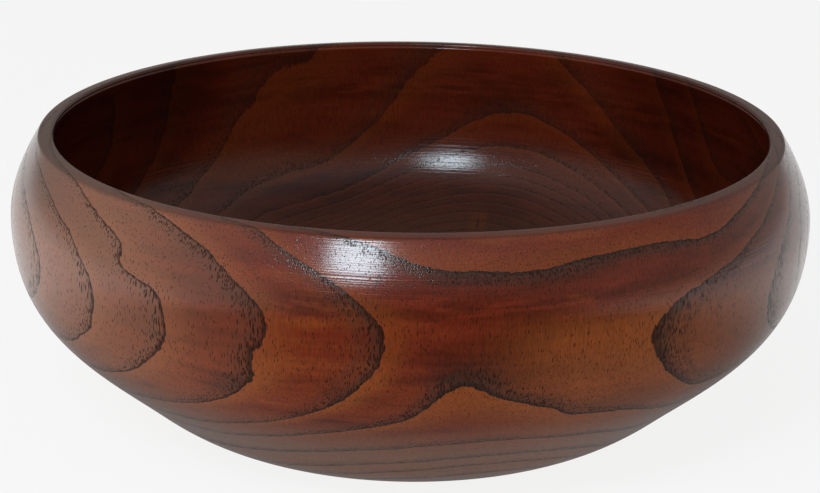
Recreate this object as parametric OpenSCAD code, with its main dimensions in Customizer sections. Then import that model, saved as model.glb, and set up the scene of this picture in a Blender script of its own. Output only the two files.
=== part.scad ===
/* [Outside] */
// Outside diameter at the belly, the widest level
belly_d = 300; // [260:5:340]
// Overall height, to the crest of the lip
height = 114.5; // [104.5:1:124.5]
// Height of the belly above the table
belly_z = 84; // [78:1:90]
// How far the rim draws in from the belly, on each side
rim_inset = 11; // [6:0.5:16]
// Lean of the wall at the rim, in degrees inward from upright
rim_lean = 31; // [20:1:36]

/* [Wall] */
// Wall thickness just under the rim
rim_wall = 5.5; // [5:0.1:7.5]
// Wall thickness at the belly
belly_wall = 8.6; // [7:0.1:11]
// Wall thickness halfway down the flank
flank_wall = 9.6; // [8:0.1:12]
// Thickness of the floor at its middle
floor_t = 14; // [12:0.5:18]

/* [Lip] */
// Fall of the lip's top face toward the outside, in degrees
lip_fall = 6; // [0:1:10]
// Radius of the lip's outer edge
lip_outer_r = 1.2; // [0.6:0.1:1.6]
// Radius of the lip's inner edge
lip_inner_r = 1.2; // [0.8:0.1:1.6]

/* [Foot] */
// Outside diameter of the flat ring that the bowl rests on
foot_d = 104; // [90:2:116]
// Width of that ring
foot_ring_w = 10; // [8:1:16]
// Depth of the shallow hollow turned inside the ring
hollow_depth = 2; // [1:0.25:3]

/* [Hidden] */

// Points along each stretch of the turned profile, and sides of the preview
curve_steps = 14;
edge_steps = 5;
sides = 240;

belly_r = belly_d / 2;
rim_r = belly_r - rim_inset;
foot_r = foot_d / 2;
hollow_r = foot_r - foot_ring_w;

// The profile lies in the plane of radius and height. A heading is an angle in
// that plane: 0 points outward, 90 up and 180 inward.
outward = 0;
upward = 90;
inward = 180;
flank_heading = 40;
rim_heading = upward + rim_lean;
lip_heading = inward - lip_fall;

// Join between the soft foot curve and the straighter flank
flank_joint = [0.72 * belly_r, 0.175 * height];

// Lengths of the curves' pulls at each end
hollow_pull = hollow_r / 3;
foot_pull = 0.213 * belly_r;
foot_joint_pull = 0.08 * belly_r;
flank_pull = 0.215 * belly_r;
belly_lower_pull = 0.227 * belly_r;
belly_upper_pull = 0.105 * height;
rim_pull = 0.07 * height;
floor_pull = 0.33 * belly_r;
floor_joint_pull = 0.13 * belly_r;
inner_scale = 0.94;

function dir(heading) = [cos(heading), sin(heading)];

// A cubic curve that leaves one point on a heading and arrives at the other on
// a heading, without its first point
function curve(from, leave, leave_pull, to, arrive, arrive_pull) =
    let (a = from + leave_pull * dir(leave), b = to - arrive_pull * dir(arrive))
    [for (i = [1:curve_steps]) let (t = i / curve_steps, s = 1 - t)
        s * s * s * from + 3 * s * s * t * a + 3 * s * t * t * b + t * t * t * to];

// Where the rounding of a sharp corner begins, on the heading that comes into it
function edge_start(corner, heading, turn, r) = corner - r * tan(turn / 2) * dir(heading);

// The rounding of that corner, an arc of radius r, also without its first point
function edge(corner, heading, turn, r) =
    let (centre = edge_start(corner, heading, turn, r) + r * dir(heading + 90))
    [for (i = [1:edge_steps]) centre + r * dir(heading - 90 + turn * i / edge_steps)];

// Sharp corners of the lip, before its edges are rounded. The inner one stands a
// little above the overall height, which its rounding brings it down to.
lip_w = rim_wall / cos(rim_lean);
lip_outer_turn = lip_heading - rim_heading;
lip_inner_turn = rim_heading + 180 - lip_heading;
lip_inner_rise = lip_inner_r * (tan(lip_inner_turn / 2) * sin(lip_fall) + cos(lip_fall) - 1);
lip_inner = [rim_r - lip_w, height + lip_inner_rise];
lip_outer = [rim_r, lip_inner[1] - lip_w * tan(lip_fall)];

// Inner face of the wall at the belly and at the flank
belly_in = [belly_r - belly_wall, belly_z];
flank_in = flank_joint + flank_wall * dir(flank_heading + 90);

hollow = concat([[0, hollow_depth]],
    curve([0, hollow_depth], outward, hollow_pull,
          [hollow_r, 0], -atan(2 * hollow_depth / hollow_r), hollow_pull));

outside = concat([[foot_r, 0]],
    curve([foot_r, 0], outward, foot_pull, flank_joint, flank_heading, foot_joint_pull),
    curve(flank_joint, flank_heading, flank_pull, [belly_r, belly_z], upward, belly_lower_pull),
    curve([belly_r, belly_z], upward, belly_upper_pull,
          edge_start(lip_outer, rim_heading, lip_outer_turn, lip_outer_r), rim_heading, rim_pull));

lip = concat(
    edge(lip_outer, rim_heading, lip_outer_turn, lip_outer_r),
    [edge_start(lip_inner, lip_heading, lip_inner_turn, lip_inner_r)],
    edge(lip_inner, lip_heading, lip_inner_turn, lip_inner_r));

inside = concat(
    curve(lip[len(lip) - 1], rim_heading + 180, inner_scale * rim_pull,
          belly_in, upward + 180, inner_scale * belly_upper_pull),
    curve(belly_in, upward + 180, inner_scale * belly_lower_pull,
          flank_in, flank_heading + 180, inner_scale * flank_pull),
    curve(flank_in, flank_heading + 180, floor_joint_pull, [0, floor_t], inward, floor_pull));

// One piece of wood, turned inside and out from the whole round of the log
module bowl() {
    color([0.45, 0.17, 0.09])
        rotate_extrude($fn = sides)
            polygon(concat(hollow, outside, lip, inside));
}

bowl();
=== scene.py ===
import math

import bmesh
import bpy
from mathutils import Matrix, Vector
from mathutils.geometry import interpolate_bezier


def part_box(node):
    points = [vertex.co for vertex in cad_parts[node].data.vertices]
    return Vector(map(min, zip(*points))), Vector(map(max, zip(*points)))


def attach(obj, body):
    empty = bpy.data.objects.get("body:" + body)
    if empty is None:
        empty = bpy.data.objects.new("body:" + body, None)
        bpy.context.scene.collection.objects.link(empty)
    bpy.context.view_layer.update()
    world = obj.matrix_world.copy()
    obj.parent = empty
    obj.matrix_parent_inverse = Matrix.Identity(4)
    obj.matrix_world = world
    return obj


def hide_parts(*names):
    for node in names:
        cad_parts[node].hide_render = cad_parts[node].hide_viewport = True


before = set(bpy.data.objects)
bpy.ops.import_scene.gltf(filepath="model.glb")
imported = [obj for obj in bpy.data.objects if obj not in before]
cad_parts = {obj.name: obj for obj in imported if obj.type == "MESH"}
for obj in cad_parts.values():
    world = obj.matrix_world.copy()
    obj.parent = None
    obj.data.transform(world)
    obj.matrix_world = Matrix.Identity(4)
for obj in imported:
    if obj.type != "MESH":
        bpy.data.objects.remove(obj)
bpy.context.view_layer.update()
bowlLow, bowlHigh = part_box("bowl")
bellyRadius = (bowlHigh.x - bowlLow.x) / 2
rimHeight = bowlHigh.z
millimetre = 0.001
print("frame loaded, belly radius %.3f m, rim height %.3f m" % (bellyRadius, rimHeight))


viewpoint = {
    "elevation": 18.36,  # degrees above the table
    "distance": 6.5,     # in belly radii, from the middle of the bowl
    "tilt": 0.52,        # degrees up from the middle of the bowl
    "roll": 0.74,        # degrees
    "lens": 111.9,       # mm
    "sensor": 36,        # mm
}


def addCamera():
    elevation = math.radians(viewpoint["elevation"])
    away = bellyRadius * viewpoint["distance"]
    data = bpy.data.cameras.new("productCamera")
    data.sensor_width = viewpoint["sensor"]
    data.lens = viewpoint["lens"]
    camera = bpy.data.objects.new("productCamera", data)
    bpy.context.scene.collection.objects.link(camera)
    camera.location = (0, -away * math.cos(elevation), away * math.sin(elevation) + rimHeight / 2)
    camera.rotation_mode = "ZYX"
    camera.rotation_euler = (
        math.radians(90 - viewpoint["elevation"] + viewpoint["tilt"]), 0, math.radians(viewpoint["roll"]))
    bpy.context.scene.camera = camera
    bpy.context.scene.view_settings.view_transform = "Standard"


def addNode(tree, kind, place=(0, 0), **settings):
    node = tree.nodes.new(kind)
    node.location = place
    for name, value in settings.items():
        setattr(node, name, value)
    return node


def feed(tree, socket, value):
    # a socket is linked, and a plain number is set
    if isinstance(value, bpy.types.NodeSocket):
        tree.links.new(value, socket)
    else:
        socket.default_value = value


def mathNode(tree, operation, first, second=0, place=(0, 0)):
    node = addNode(tree, "ShaderNodeMath", place, operation=operation)
    for socket, value in zip(node.inputs, (first, second)):
        feed(tree, socket, value)
    return node.outputs[0]


def product(tree, first, *others, place=(0, 0)):
    for other in others:
        first = mathNode(tree, "MULTIPLY", first, other, place)
    return first


def ease(tree, value, low, high, fromValue, toValue, place=(0, 0)):
    # smooth step from fromValue at low to toValue at high
    node = addNode(tree, "ShaderNodeMapRange", place, interpolation_type="SMOOTHSTEP")
    for name, number in (("From Min", low), ("From Max", high), ("To Min", fromValue), ("To Max", toValue)):
        feed(tree, node.inputs[name], number)
    tree.links.new(value, node.inputs["Value"])
    return node.outputs["Result"]


def easeHeight(tree, parts, low, high, fromValue, toValue, place=(0, 0)):
    # the same up the bowl, with low and high as shares of the rim height
    return ease(tree, parts.outputs["Z"], low * rimHeight, high * rimHeight, fromValue, toValue, place)


def blendColour(tree, factor, first, second, mode="MIX", place=(0, 0)):
    node = addNode(tree, "ShaderNodeMix", place, data_type="RGBA", blend_type=mode)
    feed(tree, node.inputs[0], factor)
    for socket, colour in ((node.inputs[6], first), (node.inputs[7], second)):
        feed(tree, socket, colour if isinstance(colour, bpy.types.NodeSocket) else (*colour, 1))
    return node.outputs[2]


studio = {
    "floorSize": 8,                     # metres, from the middle to an edge
    "floorTone": (0.85, 0.85, 0.85),
    "floorGlow": 0.86,                  # share of the floor's own even white, as the camera sees it
    "glowStrength": 1.0,
    "tableNear": 0.22,                  # how bright the bowl finds the table, close by
    "tableFar": 0.045,                  # further off in front
    "tableReach": (0.15, 0.36),         # metres from the middle, from near to far
    "tableAside": 0.85,                 # and beside and behind it
    "asideShare": (0.9, 0.8),           # how much of |x| and of y counts as aside
    "asideReach": (0.10, 0.34),         # metres
    "tableBounce": 3.0,                 # how much more light it throws up than it mirrors
    "keyPlace": (-0.225, -0.82, 0.66),  # metres
    "keySize": 0.25,
    "keyPower": 4.4,
    "keyColour": (0.74, 0.90, 1.0),
    "fillPlace": (-1.0, -1.5, 0.14),
    "fillSize": 1.2,
    "fillPower": 15,
    "fillColour": (1.0, 0.97, 0.94),
}


def tableTone(tree, path):
    where = addNode(tree, "ShaderNodeTexCoord", (-800, -200))
    distance = addNode(tree, "ShaderNodeVectorMath", (-600, -200), operation="LENGTH")
    tree.links.new(where.outputs["Object"], distance.inputs[0])
    tone = ease(tree, distance.outputs["Value"], *studio["tableReach"],
                studio["tableNear"], studio["tableFar"], (-300, -200))
    parts = addNode(tree, "ShaderNodeSeparateXYZ", (-600, -400))
    tree.links.new(where.outputs["Object"], parts.inputs[0])
    shareX, shareY = studio["asideShare"]
    aside = product(tree, mathNode(tree, "ABSOLUTE", parts.outputs["X"]), shareX)
    aside = mathNode(tree, "ADD", aside, product(tree, parts.outputs["Y"], shareY))
    tone = ease(tree, aside, *studio["asideReach"], tone, studio["tableAside"], (-200, -400))
    bounce = product(tree, path.outputs["Is Diffuse Ray"], studio["tableBounce"] - 1, place=(-200, -600))
    return product(tree, tone, mathNode(tree, "ADD", bounce, 1.0))


def addFloor():
    grid = bmesh.new()
    bmesh.ops.create_grid(grid, x_segments=1, y_segments=1, size=studio["floorSize"])
    mesh = bpy.data.meshes.new("paleFloor")
    grid.to_mesh(mesh)
    grid.free()
    floor = bpy.data.objects.new("paleFloor", mesh)
    bpy.context.scene.collection.objects.link(floor)
    finish = bpy.data.materials.new("paleFloor")
    finish.use_nodes = True
    tree = finish.node_tree
    tree.nodes.clear()
    out = addNode(tree, "ShaderNodeOutputMaterial", (1000, 0))
    pale = addNode(tree, "ShaderNodeBsdfDiffuse", (0, 100))
    pale.inputs["Color"].default_value = (*studio["floorTone"], 1)
    glow = addNode(tree, "ShaderNodeEmission", (0, 250))
    glow.inputs["Strength"].default_value = studio["glowStrength"]
    path = addNode(tree, "ShaderNodeLightPath", (-400, 500))
    share = product(tree, path.outputs["Is Camera Ray"], studio["floorGlow"], place=(0, 450))
    seen = addNode(tree, "ShaderNodeMixShader", (300, 150))
    tree.links.new(share, seen.inputs["Fac"])
    tree.links.new(pale.outputs[0], seen.inputs[1])
    tree.links.new(glow.outputs[0], seen.inputs[2])
    # the bowl sees a table with its own tones, and the camera sees the even floor
    table = addNode(tree, "ShaderNodeEmission", (0, -200))
    tree.links.new(tableTone(tree, path), table.inputs["Strength"])
    pick = addNode(tree, "ShaderNodeMixShader", (600, 0))
    tree.links.new(path.outputs["Is Camera Ray"], pick.inputs["Fac"])
    tree.links.new(table.outputs[0], pick.inputs[1])
    tree.links.new(seen.outputs[0], pick.inputs[2])
    tree.links.new(pick.outputs[0], out.inputs["Surface"])
    mesh.materials.append(finish)


# the room, by the direction it is seen in: the sine of the height for the bands, and from where to
# where along an axis the other walls come in
daylight = {
    "bands": [(0.0, 0.04), (0.30, 0.08), (0.50, 0.24), (0.62, 0.54), (0.76, 0.50), (0.88, 0.20)],
    "behind": (-0.15, 0.55, 0.0, 1.0),
    "behindColour": (0.24, 0.22, 0.21),
    "left": (-0.85, -0.30, 1.0, 0.0),
    "leftDepth": (-0.15, 0.40, 1.0, 0.30),
    "leftColour": (0.62, 0.56, 0.53),
    "right": (0.35, 0.90, 0.0, 0.9),
    "rightColour": (0.42, 0.37, 0.34),
}


def addDaylight():
    # a soft room: a bright band above eye level in front, a window wall on the left, a dimmer wall
    # on the right and another behind
    world = bpy.data.worlds.new("daylight")
    bpy.context.scene.world = world
    world.use_nodes = True
    tree = world.node_tree
    tree.nodes.clear()
    out = addNode(tree, "ShaderNodeOutputWorld", (1200, 0))
    room = addNode(tree, "ShaderNodeBackground", (1000, 0))
    where = addNode(tree, "ShaderNodeTexCoord", (-600, 0))
    parts = addNode(tree, "ShaderNodeSeparateXYZ", (-400, 0))
    tree.links.new(where.outputs["Generated"], parts.inputs[0])
    band = addNode(tree, "ShaderNodeValToRGB", (-100, 0))
    ramp = band.color_ramp
    while len(ramp.elements) < len(daylight["bands"]):
        ramp.elements.new(0.5)
    for element, (at, grey) in zip(ramp.elements, daylight["bands"]):
        element.position = at
        element.color = (grey, grey, grey, 1)
    tree.links.new(parts.outputs["Z"], band.inputs[0])
    behind = ease(tree, parts.outputs["Y"], *daylight["behind"], (-100, -300))
    left = product(tree, ease(tree, parts.outputs["X"], *daylight["left"], (100, -500)),
                   ease(tree, parts.outputs["Y"], *daylight["leftDepth"], (300, -500)))
    right = ease(tree, parts.outputs["X"], *daylight["right"], (100, -700))
    mixed = blendColour(tree, behind, band.outputs[0], daylight["behindColour"], place=(300, 0))
    mixed = blendColour(tree, left, mixed, daylight["leftColour"], place=(500, 0))
    mixed = blendColour(tree, right, mixed, daylight["rightColour"], place=(700, 0))
    tree.links.new(mixed, room.inputs["Color"])
    tree.links.new(room.outputs[0], out.inputs["Surface"])


def addWindow(name, shape, mirrored):
    data = bpy.data.lights.new(name + "Window", "AREA")
    data.shape = shape
    data.size = studio[name + "Size"]
    data.energy = studio[name + "Power"]
    data.color = studio[name + "Colour"]
    window = bpy.data.objects.new(name + "Window", data)
    bpy.context.scene.collection.objects.link(window)
    window.location = studio[name + "Place"]
    toWindow = Vector(studio[name + "Place"]) - Vector((0, 0, rimHeight / 2))
    window.rotation_mode = "QUATERNION"
    window.rotation_quaternion = toWindow.to_track_quat("Z", "Y")
    window.visible_glossy = mirrored


addCamera()
addFloor()
addDaylight()
addWindow("key", "DISK", True)
addWindow("fill", "SQUARE", False)
print("camera, floor and light are in place")


# Radii and heights are shares of the belly radius. Angles run from the bowl's middle, in degrees,
# with the camera at -90. The shape of one chosen year's ring sets the rest.
growth = {
    "bellyLevel": 0.55,
    "pith": (0.05, 0.42),
    # outline of the chosen ring at the belly level, every 15 degrees from -180
    "outline": [0.78, 0.79, 0.775, 0.795, 0.828, 0.893, 0.948, 0.963, 0.943, 0.93, 0.912, 0.89,
                0.861, 0.82, 0.785, 0.857, 0.926, 0.944, 0.889, 0.806, 0.785, 0.73, 0.715, 0.75],
    # how much the tree grew in one later year, at the same angles
    "yearGrowth": [0.036, 0.038, 0.048, 0.055, 0.064, 0.066, 0.075, 0.085, 0.08, 0.058, 0.045, 0.028,
                   0.03, 0.042, 0.054, 0.07, 0.054, 0.06, 0.095, 0.098, 0.09, 0.077, 0.06, 0.045],
    # how the trunk narrows upward, at the same angles
    "taper": [0.02, 0, -0.03, -0.05, -0.045, -0.04, -0.03, -0.01, -0.07, -0.19, -0.10, -0.01,
              0.05, 0.15, 0.25, 0.25, 0.25, 0.25, 0.25, 0.25, 0.17, 0.13, 0.10, 0.06],
    # how much faster it narrows above the belly level, at the back
    "waist": 1.0,
    # edges of the good and bad years after that ring
    "laterYears": [0, 0.8, 1.8, 2.9, 3.8, 4.7, 5.6, 6.5, 7.3],
    # edges of the earlier years, as shares of the way in to the pith
    "earlierYears": [0, 0.066, 0.128, 0.165, 0.205, 0.25, 0.30, 0.36, 0.42, 0.48, 0.54, 0.60, 0.66,
                     0.72, 0.78, 0.84, 0.90, 0.95, 1.0],
    # swellings and hollows in the trunk: angle, height, half widths of both, and depth
    "swellings": [(-84, 0.44, 7, 0.10, 0.028), (-67, 0.31, 5, 0.06, -0.012), (-130, 0.63, 5, 0.03, 0.016),
                  (-40, 0.40, 6, 0.05, 0.010), (-112, 0.49, 3.5, 0.05, 0.012)],
    "samplesPerDegree": 4,   # where the ring's distance from the pith is worked out
}


def aroundTrunk(values, angle):
    # smooth closed curve through evenly spaced values
    count = len(values)
    at = (angle + 180) / 360 * count
    step = math.floor(at)
    t = at - step
    a, b, c, d = (values[(step + k) % count] for k in (-1, 0, 1, 2))
    square = (2 * a - 5 * b + 4 * c - d) * t * t
    cube = (3 * b - a - 3 * c + d) * t ** 3
    return 0.5 * (2 * b + (c - a) * t + square + cube)


def alongList(value, edges):
    # position of a value among rising edges, with fractions
    for number in range(1, len(edges)):
        if value < edges[number]:
            return number - 1 + (value - edges[number - 1]) / (edges[number] - edges[number - 1])
    last = edges[-1] - edges[-2]
    return len(edges) - 1 + (value - edges[-1]) / last


def fromPith(radius, angle):
    # bearing in degrees and distance, as seen from the pith
    x = radius * math.cos(math.radians(angle)) - growth["pith"][0]
    y = radius * math.sin(math.radians(angle)) - growth["pith"][1]
    return math.degrees(math.atan2(y, x)), math.hypot(x, y)


def pithReach():
    # how far the chosen ring is from the pith, for each degree round the pith
    perDegree = growth["samplesPerDegree"]
    reach = []
    for number in range(360 * perDegree + 1):
        angle = -180 + number / perDegree
        reach.append(fromPith(aroundTrunk(growth["outline"], angle), angle))
    reach.sort()
    table = []
    place = 0
    for degree in range(-180, 181):
        while place < len(reach) - 2 and reach[place + 1][0] < degree:
            place += 1
        (low, lowReach), (high, highReach) = reach[place], reach[place + 1]
        share = min(max((degree - low) / max(high - low, 1e-6), 0), 1)
        table.append(lowReach + share * (highReach - lowReach))
    return table


reachTable = pithReach()


def ringAge(point):
    # years outward from the chosen ring, at a point inside the log
    x, y, level = (value / bellyRadius for value in point)
    angle = math.degrees(math.atan2(y, x))
    radius = math.hypot(x, y)
    above = level - growth["bellyLevel"]
    radius += aroundTrunk(growth["taper"], angle) * above
    radius += growth["waist"] * max(0, y / radius) * max(0, above) ** 2
    for swellAngle, swellLevel, halfAngle, halfLevel, depth in growth["swellings"]:
        turn = (angle - swellAngle + 180) % 360 - 180
        radius -= depth * math.exp(-((turn / halfAngle) ** 2) - ((level - swellLevel) / halfLevel) ** 2)
    ring = aroundTrunk(growth["outline"], angle)
    if radius >= ring:
        return alongList((radius - ring) / aroundTrunk(growth["yearGrowth"], angle), growth["laterYears"])
    bearing, distance = fromPith(radius, angle)
    bearing += 180
    step = min(int(bearing), 359)
    reach = reachTable[step] + (bearing - step) * (reachTable[step + 1] - reachTable[step])
    return -alongList(1 - distance / reach, growth["earlierYears"])


# shares of the belly radius, or of the rim height where the name says height
turning = {
    "bellyHeight": 0.7336,
    "rimInset": 0.07333,
    "rimLean": 31,            # degrees
    "rimWall": 0.03667,
    "bellyWall": 0.05733,
    "flankWall": 0.064,
    "floorThickness": 0.0933,
    "flankHeading": 40,       # degrees
    "flankRadius": 0.72,
    "flankHeight": 0.175,
    "footRadius": 0.3467,
    "footRing": 0.0667,
    "hollowDepth": 0.01333,
    "lipFall": 6,             # degrees, toward the outside
    "lipOuterRadius": 0.008,
    "lipInnerRadius": 0.008,
    # pulls of the curves, the first word for where one leaves or arrives
    "footPull": 0.213,
    "flankLowPull": 0.08,
    "flankHighPull": 0.215,
    "bellyLowPull": 0.227,
    "bellyPullHeight": 0.105,
    "rimPullHeight": 0.07,
    "innerPulls": 0.94,       # the inner curves' pulls, against the outer ones
    "innerFlankPull": 0.13,
    "floorPull": 0.33,
    # steps along each stretch of the profile, and around
    "hollowSteps": 10,
    "footSteps": 20,
    "flankSteps": 30,
    "innerFlankSteps": 28,
    "rimSteps": 14,
    "floorSteps": 22,
    "lipSteps": 6,
    "roundSteps": 448,
    "boxFit": (0.9996, 0.9996, 0.9998),   # keeps the facets inside the CAD box
    "lift": 0.01,                         # mm, for the same reason
    "mergeWithin": 0.02,                  # mm
}


def heading(degrees):
    return Vector((math.cos(math.radians(degrees)), 0, math.sin(math.radians(degrees))))


def stretch(start, leave, leavePull, end, arrive, arrivePull, steps):
    # smooth curve between two points of the profile, without its first point
    a = start + heading(leave) * leavePull
    b = end - heading(arrive) * arrivePull
    return interpolate_bezier(start, a, b, end, steps + 1)[1:]


def lipCorners():
    cut, radius = turning, bellyRadius
    width = cut["rimWall"] * radius / math.cos(math.radians(cut["rimLean"]))
    fall = math.radians(cut["lipFall"])
    halfTurn = math.radians(90 + cut["rimLean"] + cut["lipFall"]) / 2
    # the sharp inner corner stands above the rim height, which its rounding brings it down to
    rise = cut["lipInnerRadius"] * radius * (math.tan(halfTurn) * math.sin(fall) + math.cos(fall) - 1)
    rim = Vector(((1 - cut["rimInset"]) * radius, 0, rimHeight + rise - width * math.tan(fall)))
    return rim, rim + Vector((-width, 0, width * math.tan(fall)))


def bowlProfile():
    cut, radius, height = turning, bellyRadius, rimHeight
    rimHeading, flankHeading = 90 + cut["rimLean"], cut["flankHeading"]
    foot = Vector((cut["footRadius"] * radius, 0, 0))
    ring = Vector(((cut["footRadius"] - cut["footRing"]) * radius, 0, 0))
    hollow = Vector((0, 0, cut["hollowDepth"] * radius))
    flank = Vector((cut["flankRadius"] * radius, 0, cut["flankHeight"] * height))
    belly = Vector((radius, 0, cut["bellyHeight"] * height))
    rim, lipIn = lipCorners()
    bellyIn = belly - Vector((cut["bellyWall"] * radius, 0, 0))
    flankIn = flank + heading(flankHeading + 90) * cut["flankWall"] * radius
    floor = Vector((0, 0, cut["floorThickness"] * radius))
    flankPull, bellyPull = cut["flankHighPull"] * radius, cut["bellyLowPull"] * radius
    bellyRise, rimPull = cut["bellyPullHeight"] * height, cut["rimPullHeight"] * height
    inner = cut["innerPulls"]
    dip = math.degrees(math.atan(2 * hollow.z / ring.x))

    points = [hollow]
    points += stretch(hollow, 0, ring.x / 3, ring, -dip, ring.x / 3, cut["hollowSteps"])
    points += [ring + (foot - ring) * share for share in (0.5, 1)]
    points += stretch(foot, 0, cut["footPull"] * radius,
                      flank, flankHeading, cut["flankLowPull"] * radius, cut["footSteps"])
    points += stretch(flank, flankHeading, flankPull, belly, 90, bellyPull, cut["flankSteps"])
    points += stretch(belly, 90, bellyRise, rim, rimHeading, rimPull, cut["rimSteps"])
    lipOuter = len(points) - 1
    points += [lipIn]
    points += stretch(lipIn, rimHeading + 180, inner * rimPull,
                      bellyIn, 270, inner * bellyRise, cut["rimSteps"])
    points += stretch(bellyIn, 270, inner * bellyPull,
                      flankIn, flankHeading + 180, inner * flankPull, cut["innerFlankSteps"])
    points += stretch(flankIn, flankHeading + 180, cut["innerFlankPull"] * radius,
                      floor, 180, cut["floorPull"] * radius, cut["floorSteps"])
    return points, lipOuter


def insideShare(vertex):
    # 1 on the inner face and 0 on the outer one, changing over the lip
    outwardness = vertex.normal.xy.dot(vertex.co.xy.normalized())
    if vertex.normal.z > 0.2 and vertex.co.z < 0.9 * rimHeight and outwardness < 0.1:
        return 1.0
    return min(max(-1.5 * outwardness, 0), 1) if vertex.co.z > 0.1 * rimHeight else 0.0


def roundLip(shape, points, lipOuter):
    lean, fall = turning["rimLean"], turning["lipFall"]
    near = 0.01 * millimetre
    roundings = ((points[lipOuter], turning["lipOuterRadius"], 90 - fall - lean),
                 (points[lipOuter + 1], turning["lipInnerRadius"], 90 + fall + lean))
    for corner, radius, turn in roundings:
        loop = [edge for edge in shape.edges
                if all(abs(vert.co.z - corner.z) < near for vert in edge.verts)
                and all(abs(vert.co.xy.length - corner.x) < near for vert in edge.verts)]
        reach = radius * bellyRadius * math.tan(math.radians(turn / 2))
        bmesh.ops.bevel(shape, geom=loop, offset=reach, offset_type="OFFSET",
                        segments=turning["lipSteps"], profile=0.5, affect="EDGES", material=-1)


def turnBowl():
    points, lipOuter = bowlProfile()
    shape = bmesh.new()
    verts = [shape.verts.new(point) for point in points]
    edges = [shape.edges.new(pair) for pair in zip(verts, verts[1:])]
    bmesh.ops.spin(shape, geom=verts + edges, axis=(0, 0, 1), cent=(0, 0, 0), angle=math.tau,
                   steps=turning["roundSteps"], use_merge=True, use_duplicate=False)
    bmesh.ops.remove_doubles(shape, verts=shape.verts, dist=turning["mergeWithin"] * millimetre)
    bmesh.ops.recalc_face_normals(shape, faces=shape.faces)
    roundLip(shape, points, lipOuter)
    bmesh.ops.scale(shape, vec=turning["boxFit"], verts=shape.verts)
    bmesh.ops.translate(shape, vec=(0, 0, turning["lift"] * millimetre), verts=shape.verts)
    mesh = bpy.data.meshes.new("turnedBowl")
    shape.to_mesh(mesh)
    shape.free()
    for face in mesh.polygons:
        face.use_smooth = True
    age = mesh.attributes.new("ringAge", "FLOAT", "POINT")
    age.data.foreach_set("value", [ringAge(vertex.co) for vertex in mesh.vertices])
    inside = mesh.attributes.new("inside", "FLOAT", "POINT")
    inside.data.foreach_set("value", [insideShare(vertex) for vertex in mesh.vertices])
    bowl = bpy.data.objects.new("turnedBowl", mesh)
    bpy.context.scene.collection.objects.link(bowl)
    return bowl


def newGroup(name, inputs, outputs):
    group = bpy.data.node_groups.new(name, "ShaderNodeTree")
    for kind, sockets in (("INPUT", inputs), ("OUTPUT", outputs)):
        for label, socketType in sockets:
            group.interface.new_socket(label, in_out=kind, socket_type=socketType)
    into = addNode(group, "NodeGroupInput", (-1200, 0))
    out = addNode(group, "NodeGroupOutput", (1200, 0))
    return group, into, out


def scaled(tree, vector, scale, place=(0, 0)):
    node = addNode(tree, "ShaderNodeMapping", place)
    node.inputs["Scale"].default_value = scale
    tree.links.new(vector, node.inputs["Vector"])
    return node.outputs[0]


def noiseOf(tree, vector, scale, detail, rough, place=(0, 0)):
    node = addNode(tree, "ShaderNodeTexNoise", place)
    node.inputs["Scale"].default_value = scale
    node.inputs["Detail"].default_value = detail
    node.inputs["Roughness"].default_value = rough
    tree.links.new(vector, node.inputs["Vector"])
    return node.outputs["Fac"]


# spans are a low and a high value, and what is given at each
ringLook = {
    "raggedStretch": (700, 700, 190),
    "ragged": 0.055,                  # years
    "wanderScale": 55,
    "wander": 0.20,                   # years
    "earlySpan": (0.0, 0.50, 1, 0),   # shares of a year
    "earlyPower": 1.6,
    "lineSpan": (0.015, 0.06, 1, 0),
    "lateSpan": (0.60, 1.0, 0, 1),
    "stripesPerYear": 11,
}


def growthRingGroup():
    # from ring age: the dark porous early wood, the sharp line at each year's start, the late wood
    group, into, out = newGroup(
        "growthRings",
        [("Age", "NodeSocketFloat"), ("Place", "NodeSocketVector")],
        [("Early", "NodeSocketFloat"), ("Line", "NodeSocketFloat"), ("Late", "NodeSocketFloat"),
         ("Year", "NodeSocketFloat"), ("Fine", "NodeSocketFloat")])
    place = into.outputs["Place"]
    ragged = noiseOf(group, scaled(group, place, ringLook["raggedStretch"]), 1, 3, 0.6, (-900, 300))
    wander = noiseOf(group, place, ringLook["wanderScale"], 3, 0.55, (-900, 100))
    age = into.outputs["Age"]
    for cloud, amount in ((ragged, ringLook["ragged"]), (wander, ringLook["wander"])):
        shift = product(group, mathNode(group, "SUBTRACT", cloud, 0.5), amount)
        age = mathNode(group, "ADD", age, shift)
    within = mathNode(group, "FRACT", age)
    early = ease(group, within, *ringLook["earlySpan"], (0, 300))
    early = mathNode(group, "POWER", early, ringLook["earlyPower"], (200, 300))
    line = ease(group, within, *ringLook["lineSpan"], (0, 100))
    late = ease(group, within, *ringLook["lateSpan"], (0, -100))
    tint = addNode(group, "ShaderNodeTexWhiteNoise", (0, -300), noise_dimensions="1D")
    group.links.new(mathNode(group, "FLOOR", age), tint.inputs["W"])
    fine = addNode(group, "ShaderNodeTexNoise", (0, -500), noise_dimensions="1D")
    fine.inputs["Scale"].default_value = ringLook["stripesPerYear"]
    fine.inputs["Detail"].default_value = 2
    group.links.new(age, fine.inputs["W"])
    for label, socket in (("Early", early), ("Line", line), ("Late", late),
                          ("Year", tint.outputs["Value"]), ("Fine", fine.outputs["Fac"])):
        group.links.new(socket, out.inputs[label])
    return group


vesselLook = {
    "swayScale": 60,
    "sway": 0.004,                    # metres
    # cells per metre across and along the log, then the size of a pore in late and in early wood
    "layers": ((1500, 270, 0.24, 0.44), (1150, 200, 0.21, 0.39)),
    "sizeReach": (0.1, 1),            # of the early wood
    "softCore": 0.6,                  # share of a pore's size with no fading
    "shareSpan": (0.0, 0.8, 0.8, 1.0),
    "fibreStretch": (1900, 1900, 150),
}


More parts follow.
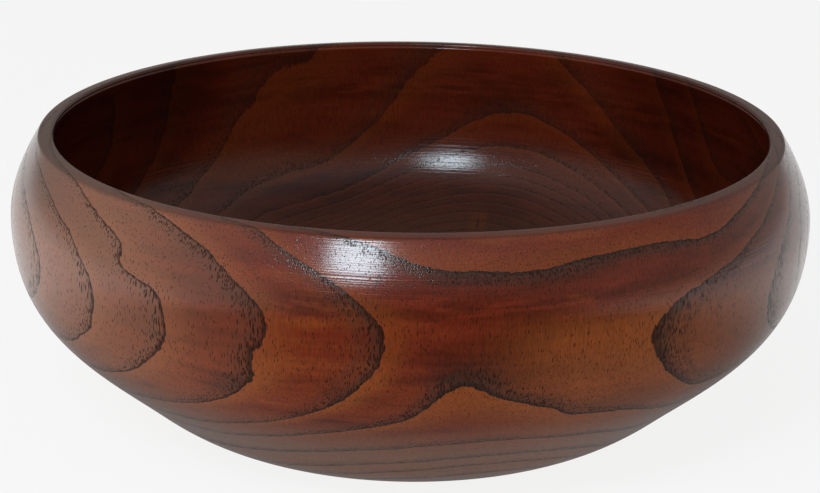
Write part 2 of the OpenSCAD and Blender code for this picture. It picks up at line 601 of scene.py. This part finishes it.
def vesselGroup():
    # pores: long narrow vessels that run up the log, thick in the early wood and thin in the rest
    group, into, out = newGroup(
        "vessels",
        [("Place", "NodeSocketVector"), ("Early", "NodeSocketFloat")],
        [("Pores", "NodeSocketFloat"), ("Fibre", "NodeSocketFloat")])
    place, early = into.outputs["Place"], into.outputs["Early"]
    sway = addNode(group, "ShaderNodeTexNoise", (-1000, 300))
    sway.inputs["Scale"].default_value = vesselLook["swayScale"]
    group.links.new(place, sway.inputs["Vector"])
    nudge = addNode(group, "ShaderNodeVectorMath", (-800, 300), operation="SCALE")
    nudge.inputs["Scale"].default_value = vesselLook["sway"]
    group.links.new(sway.outputs["Color"], nudge.inputs[0])
    moved = addNode(group, "ShaderNodeVectorMath", (-600, 300), operation="ADD")
    group.links.new(place, moved.inputs[0])
    group.links.new(nudge.outputs[0], moved.inputs[1])
    masks = []
    for number, (across, along, thin, thick) in enumerate(vesselLook["layers"]):
        row = -500 * number
        cells = addNode(group, "ShaderNodeTexVoronoi", (-200, row))
        cells.inputs["Scale"].default_value = 1
        group.links.new(scaled(group, moved.outputs[0], (across, across, along)), cells.inputs["Vector"])
        size = ease(group, early, *vesselLook["sizeReach"], thin, thick, (-200, row - 120))
        soft = product(group, size, vesselLook["softCore"])
        hole = ease(group, cells.outputs["Distance"], soft, size, 1, 0, (100, row))
        # how many of the cells hold a vessel at all
        share = ease(group, early, *vesselLook["shareSpan"], (100, row - 120))
        chance = addNode(group, "ShaderNodeSeparateColor", (-50, row - 250))
        group.links.new(cells.outputs["Color"], chance.inputs[0])
        masks.append(product(group, hole, mathNode(group, "LESS_THAN", chance.outputs[0], share)))
    fibres = scaled(group, moved.outputs[0], vesselLook["fibreStretch"])
    fibre = noiseOf(group, fibres, 1, 2, 0.6, (100, -500))
    group.links.new(mathNode(group, "MAXIMUM", *masks, (400, 0)), out.inputs["Pores"])
    group.links.new(fibre, out.inputs["Fibre"])
    return group


markLook = {
    "slope": 0.6,        # how much of the radius counts, against the height
    "waverScale": 25,
    "waver": 0.0006,     # metres
    "fineness": 2300,
}


def turningMarkGroup():
    # faint circles left by the gouge and by sanding on the lathe
    group, into, out = newGroup(
        "turningMarks", [("Place", "NodeSocketVector")], [("Marks", "NodeSocketFloat")])
    parts = addNode(group, "ShaderNodeSeparateXYZ", (-900, 0))
    group.links.new(into.outputs["Place"], parts.inputs[0])
    squares = [product(group, parts.outputs[axis], parts.outputs[axis]) for axis in ("X", "Y")]
    radius = mathNode(group, "SQRT", mathNode(group, "ADD", *squares))
    travel = mathNode(group, "ADD", parts.outputs["Z"], product(group, radius, markLook["slope"]))
    slow = noiseOf(group, into.outputs["Place"], markLook["waverScale"], 1, 0.5, (-600, -300))
    travel = mathNode(group, "ADD", travel, product(group, slow, markLook["waver"]))
    marks = addNode(group, "ShaderNodeTexNoise", (0, 0), noise_dimensions="1D")
    marks.inputs["Scale"].default_value = markLook["fineness"]
    marks.inputs["Detail"].default_value = 2
    group.links.new(travel, marks.inputs["W"])
    group.links.new(marks.outputs["Fac"], out.inputs["Marks"])
    return group


# small marks in the wood: where each one is in millimetres, which way it runs and across, half its
# length and half its width, and how strong it is
blemishes = {
    "knotCore": ((28.9, 115.2, 40.6), (0, 0, 1), (0.97, -0.24, 0), 2.6, 0.7, 0.75),
    "knotPatch": ((28.9, 115.2, 40.6), (0, 0, 1), (0.97, -0.24, 0), 6.5, 5.5, 0.55),
    "nick": ((-10.2, -145.4, 101.6), (-0.437, -0.345, -0.828), (-0.896, 0.247, 0.370), 4.4, 0.55, 0.8),
}
blemishFull = 0.25   # share of a mark's half width at full strength


def blemishGroup(name):
    centre, along, across, halfLength, halfWidth, strength = blemishes[name]
    group, into, out = newGroup(name, [("Place", "NodeSocketVector")], [("Mask", "NodeSocketFloat")])
    away = addNode(group, "ShaderNodeVectorMath", (-900, 0), operation="SUBTRACT")
    group.links.new(into.outputs["Place"], away.inputs[0])
    away.inputs[1].default_value = [value * millimetre for value in centre]
    edges = []
    for direction, half, row in ((along, halfLength, 0), (across, halfWidth, -300)):
        dot = addNode(group, "ShaderNodeVectorMath", (-600, row), operation="DOT_PRODUCT")
        group.links.new(away.outputs[0], dot.inputs[0])
        dot.inputs[1].default_value = direction
        offset = mathNode(group, "ABSOLUTE", dot.outputs["Value"], 0, (-400, row))
        reach = half * millimetre
        edges.append(ease(group, offset, blemishFull * reach, reach, 1, 0, (-200, row)))
    group.links.new(product(group, *edges, strength, place=(300, 0)), out.inputs["Mask"])
    return group


def placeGroup(tree, group, sources, place):
    node = addNode(tree, "ShaderNodeGroup", place)
    node.node_tree = group
    for label, socket in sources.items():
        tree.links.new(socket, node.inputs[label])
    return node


# colours first. Then spans: a low and a high value, and what is given at each. A span named Height
# runs over shares of the rim height, one named Across or Depth over metres, and one named Inside
# from the outer face to the inner one.
wood = {
    "honey": (0.285, 0.070, 0.0105),      # the palest late wood
    "russet": (0.190, 0.0275, 0.0040),    # the usual colour
    "oxblood": (0.070, 0.0085, 0.0022),   # dark figure
    "mahogany": (0.135, 0.016, 0.0060),   # toward the shoulder, where the stain took most
    "tan": (0.215, 0.082, 0.036),         # painted light thrown up by the table, low on the flank
    "golden": (0.330, 0.090, 0.019),      # a patch at the front, on the right
    "paintedLeftLight": (0.340, 0.166, 0.104),   # painted light on the left side, where the window light falls
    "paintedGreySheen": (0.105, 0.052, 0.037),   # painted grey sheen, a reflection of the room, on the right side and the left shoulder
    "early": (0.044, 0.023, 0.0145),      # porous wood at the start of a year
    "ringLine": (0.026, 0.010, 0.0055),
    "pore": (0.020, 0.0060, 0.0032),
    "paintedInsideShade": (0.36, 0.30, 0.30),    # painted shade that darkens the inner face
    # the clouds in the wood: stretch, detail, roughness, and share of the tone
    "clouds": {
        "figure": ((13, 13, 95), 4, 0.55, 0.62),
        "mottle": ((38, 38, 26), 3, 0.5, 0.26),
        "flame": ((42, 42, 300), 3, 0.55, 0.32),
    },
    "yearShare": 0.08,
    "deepSpan": (0.59, 0.83, 0, 1),
    "streakLowHeight": (0.74, 0.80, 0, 1),
    "streakHighHeight": (0.82, 0.88, 1, 0),
    "streakBreaks": (0.36, 0.56, 0, 0.8),
    "stainHeight": (0.48, 0.74, 0, 0.9),
    "warmSpan": (0.42, 0.62, 0.75, 0),
    "lateShare": 0.7,
    # how high the painted light from the table reaches up the flank
    "flankHeight": (0.22, 0.46, 0.75, 0),
    "lateInStain": (0, 1, 1, 0.45),
    "lateInside": (0, 1, 1, 0.55),
    "goldenAcross": (0.015, 0.060, 0, 0.55),
    "goldenHeight": (0.70, 0.82, 1, 0),
    "goldenDepth": (-0.05, 0.05, 1, 0),
    "fibreSpan": (0.30, 0.75, 1.18, 0.82),
    "stripeSpan": (0.35, 0.65, 0.45, 1),
    "earlyHeight": (0.35, 0.60, 0.6, 1),
    "earlyInside": (0, 1, 0.78, 0.5),
    # where the painted side light and the painted grey sheen fall
    "leftAcross": (-0.135, -0.03, 0.62, 0),
    "rightAcross": (0.085, 0.145, 0, 0.50),
    "shoulderAcross": (-0.140, -0.095, 0.75, 0),
    "shoulderHeight": (0.78, 0.92, 0, 1),
    "lineInside": (0, 1, 0.78, 0.30),
    "poresInside": (0, 1, 0.90, 0.45),
    # where the painted shade on the inner face lies, up the bowl and across it
    "paintedShadeHeight": (0.38, 0.85, 1, 0.30),
    "paintedShadeAcross": (0.055, 0.105, 0, 1),
    "lipHeight": (0.984, 0.996, 0, 0.35),
    "pitDepth": -0.3,
    "ridgeHeight": 0.8,
    "bumpStrength": 0.35,
    "bumpDistance": 0.15,                 # mm
    "roughness": 0.5,
    "specularLevel": 0.05,
    "coatRoughness": 0.15,
    "coatIor": 1.45,
    "coatOverPores": (0, 1, 1, 0.35),
}


def woodBody(tree, place, parts, inner, rings):
    # the colour of the wood between the lines, before any pores, with painted table light low on the flank
    clouds = {}
    tone = None
    for number, (name, (size, detail, rough, share)) in enumerate(wood["clouds"].items()):
        clouds[name] = noiseOf(tree, scaled(tree, place, size), 1, detail, rough, (-600, 600 + 100 * number))
        layer = product(tree, clouds[name], share)
        tone = layer if tone is None else mathNode(tree, "ADD", tone, layer)
    tone = mathNode(tree, "ADD", tone, product(tree, rings.outputs["Year"], wood["yearShare"]))
    # a dark streak along the grain, above the belly
    streak = product(tree, easeHeight(tree, parts, *wood["streakLowHeight"]),
                     easeHeight(tree, parts, *wood["streakHighHeight"]),
                     ease(tree, clouds["flame"], *wood["streakBreaks"]))
    deep = mathNode(tree, "MAXIMUM", ease(tree, tone, *wood["deepSpan"]), streak)
    stain = easeHeight(tree, parts, *wood["stainHeight"], (-600, 1000))
    base = blendColour(tree, stain, wood["russet"], wood["mahogany"], place=(-200, 800))
    base = blendColour(tree, deep, base, wood["oxblood"], place=(0, 500))

    # painted light thrown up by the table: low on the flank the wood is paler, with more honey and tan
    flank = easeHeight(tree, parts, *wood["flankHeight"], (-600, 1100))
    late = product(tree, rings.outputs["Late"], wood["lateShare"])
    late = mathNode(tree, "MAXIMUM", late, ease(tree, tone, *wood["warmSpan"], (0, 700)))
    late = mathNode(tree, "MAXIMUM", late, flank)
    late = product(tree, late, ease(tree, stain, *wood["lateInStain"], (0, 900)),
                   ease(tree, inner, *wood["lateInside"], (0, 1100)))
    base = blendColour(tree, late, base, wood["honey"], place=(200, 500))
    return blendColour(tree, flank, base, wood["tan"], place=(300, 700))


def darkenWood(tree, base, parts, inner, rings, vessels):
    # the grain's fine streaks and the early wood
    streak = ease(tree, vessels.outputs["Fibre"], *wood["fibreSpan"], (0, 200))
    grain = addNode(tree, "ShaderNodeCombineColor", (200, 200))
    for channel in ("Red", "Green", "Blue"):
        tree.links.new(streak, grain.inputs[channel])
    base = blendColour(tree, 1.0, base, grain.outputs[0], "MULTIPLY", (400, 400))
    early = product(tree, rings.outputs["Early"],
                    ease(tree, rings.outputs["Fine"], *wood["stripeSpan"], (200, 0)),
                    easeHeight(tree, parts, *wood["earlyHeight"]),
                    ease(tree, inner, *wood["earlyInside"], (400, -100)))
    return blendColour(tree, early, base, wood["early"], place=(600, 400))


def paintSideLightAndSheen(tree, base, parts, outside):
    # painted light and sheen on the outer face: paler on the left as painted window light, greyer on the
    # right and on the left shoulder as a painted reflection of the room
    left = ease(tree, parts.outputs["X"], *wood["leftAcross"])
    right = ease(tree, parts.outputs["X"], *wood["rightAcross"])
    shoulder = product(tree, ease(tree, parts.outputs["X"], *wood["shoulderAcross"]),
                       easeHeight(tree, parts, *wood["shoulderHeight"]))
    tints = ((left, "paintedLeftLight"), (right, "paintedGreySheen"), (shoulder, "paintedGreySheen"))
    for number, (mask, tint) in enumerate(tints):
        amount = product(tree, mask, outside)
        base = blendColour(tree, amount, base, wood[tint], place=(700, 600 + 200 * number))
    return base


def paintInsideShade(tree, base, parts, inner):
    # painted shade: the inner face is darker, except high up at the middle of the back
    aside = ease(tree, mathNode(tree, "ABSOLUTE", parts.outputs["X"]), *wood["paintedShadeAcross"])
    shade = mathNode(tree, "MAXIMUM", easeHeight(tree, parts, *wood["paintedShadeHeight"], (1000, 1000)), aside)
    shaded = blendColour(tree, 1.0, base, wood["paintedInsideShade"], "MULTIPLY")
    return blendColour(tree, product(tree, inner, shade), base, shaded, place=(1200, 400))


def addLacquer(tree, shader, vessels, marks):
    height = mathNode(tree, "ADD", product(tree, vessels.outputs["Pores"], wood["pitDepth"]),
                      product(tree, marks.outputs["Marks"], wood["ridgeHeight"]))
    bump = addNode(tree, "ShaderNodeBump", (1200, -300))
    bump.inputs["Strength"].default_value = wood["bumpStrength"]
    bump.inputs["Distance"].default_value = wood["bumpDistance"] * millimetre
    tree.links.new(height, bump.inputs["Height"])
    tree.links.new(bump.outputs[0], shader.inputs["Normal"])
    tree.links.new(bump.outputs[0], shader.inputs["Coat Normal"])
    shader.inputs["Roughness"].default_value = wood["roughness"]
    shader.inputs["Specular IOR Level"].default_value = wood["specularLevel"]
    # the lacquer does not mirror the lamp's own mirror image
    path = addNode(tree, "ShaderNodeLightPath", (1200, -600))
    direct = mathNode(tree, "SUBTRACT", 1.0, path.outputs["Is Glossy Ray"], (1350, -600))
    covered = ease(tree, vessels.outputs["Pores"], *wood["coatOverPores"], (1200, -800))
    tree.links.new(product(tree, direct, covered), shader.inputs["Coat Weight"])
    shader.inputs["Coat Roughness"].default_value = wood["coatRoughness"]
    shader.inputs["Coat IOR"].default_value = wood["coatIor"]


def lacqueredWood():
    finish = bpy.data.materials.new("lacqueredWood")
    finish.use_nodes = True
    tree = finish.node_tree
    tree.nodes.clear()
    out = addNode(tree, "ShaderNodeOutputMaterial", (1800, 0))
    shader = addNode(tree, "ShaderNodeBsdfPrincipled", (1500, 0))
    tree.links.new(shader.outputs[0], out.inputs["Surface"])
    place = addNode(tree, "ShaderNodeTexCoord", (-1200, 0)).outputs["Object"]
    parts = addNode(tree, "ShaderNodeSeparateXYZ", (-900, 900))
    tree.links.new(place, parts.inputs[0])
    age = addNode(tree, "ShaderNodeAttribute", (-1200, 300), attribute_name="ringAge").outputs["Fac"]
    inner = addNode(tree, "ShaderNodeAttribute", (-600, 1200), attribute_name="inside").outputs["Fac"]
    outside = mathNode(tree, "SUBTRACT", 1.0, inner)
    rings = placeGroup(tree, growthRingGroup(), {"Age": age, "Place": place}, (-900, 200))
    vessels = placeGroup(tree, vesselGroup(), {"Place": place, "Early": rings.outputs["Early"]}, (-600, -100))
    marks = placeGroup(tree, turningMarkGroup(), {"Place": place}, (-600, -400))
    masks = {}
    for number, name in enumerate(blemishes):
        spot = placeGroup(tree, blemishGroup(name), {"Place": place}, (-900, -600 - 200 * number))
        masks[name] = spot.outputs["Mask"]

    base = woodBody(tree, place, parts, inner, rings)
    golden = product(tree, ease(tree, parts.outputs["X"], *wood["goldenAcross"]),
                     easeHeight(tree, parts, *wood["goldenHeight"]),
                     ease(tree, parts.outputs["Y"], *wood["goldenDepth"]), outside)
    base = blendColour(tree, golden, base, wood["golden"], place=(350, 900))
    base = blendColour(tree, product(tree, masks["knotPatch"], inner), base, wood["honey"])
    base = darkenWood(tree, base, parts, inner, rings, vessels)
    base = paintSideLightAndSheen(tree, base, parts, outside)
    line = product(tree, rings.outputs["Line"], ease(tree, inner, *wood["lineInside"], (600, 0)))
    base = blendColour(tree, line, base, wood["ringLine"], place=(800, 400))
    pores = product(tree, vessels.outputs["Pores"], ease(tree, inner, *wood["poresInside"], (800, 0)))
    base = blendColour(tree, pores, base, wood["pore"], place=(1000, 400))
    base = paintInsideShade(tree, base, parts, inner)
    scratches = mathNode(tree, "MAXIMUM", product(tree, masks["knotCore"], inner),
                         mathNode(tree, "SUBTRACT", masks["nick"], inner))
    base = blendColour(tree, scratches, base, wood["pore"], place=(1100, 600))
    lip = easeHeight(tree, parts, *wood["lipHeight"], (1000, 800))
    base = blendColour(tree, lip, base, wood["early"], place=(1350, 400))
    tree.links.new(base, shader.inputs["Base Color"])
    addLacquer(tree, shader, vessels, marks)
    return finish


bowl = turnBowl()
bowl.data.materials.append(lacqueredWood())
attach(bowl, "root")
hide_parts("bowl")
print("bowl turned and finished, %d faces" % len(bowl.data.polygons))
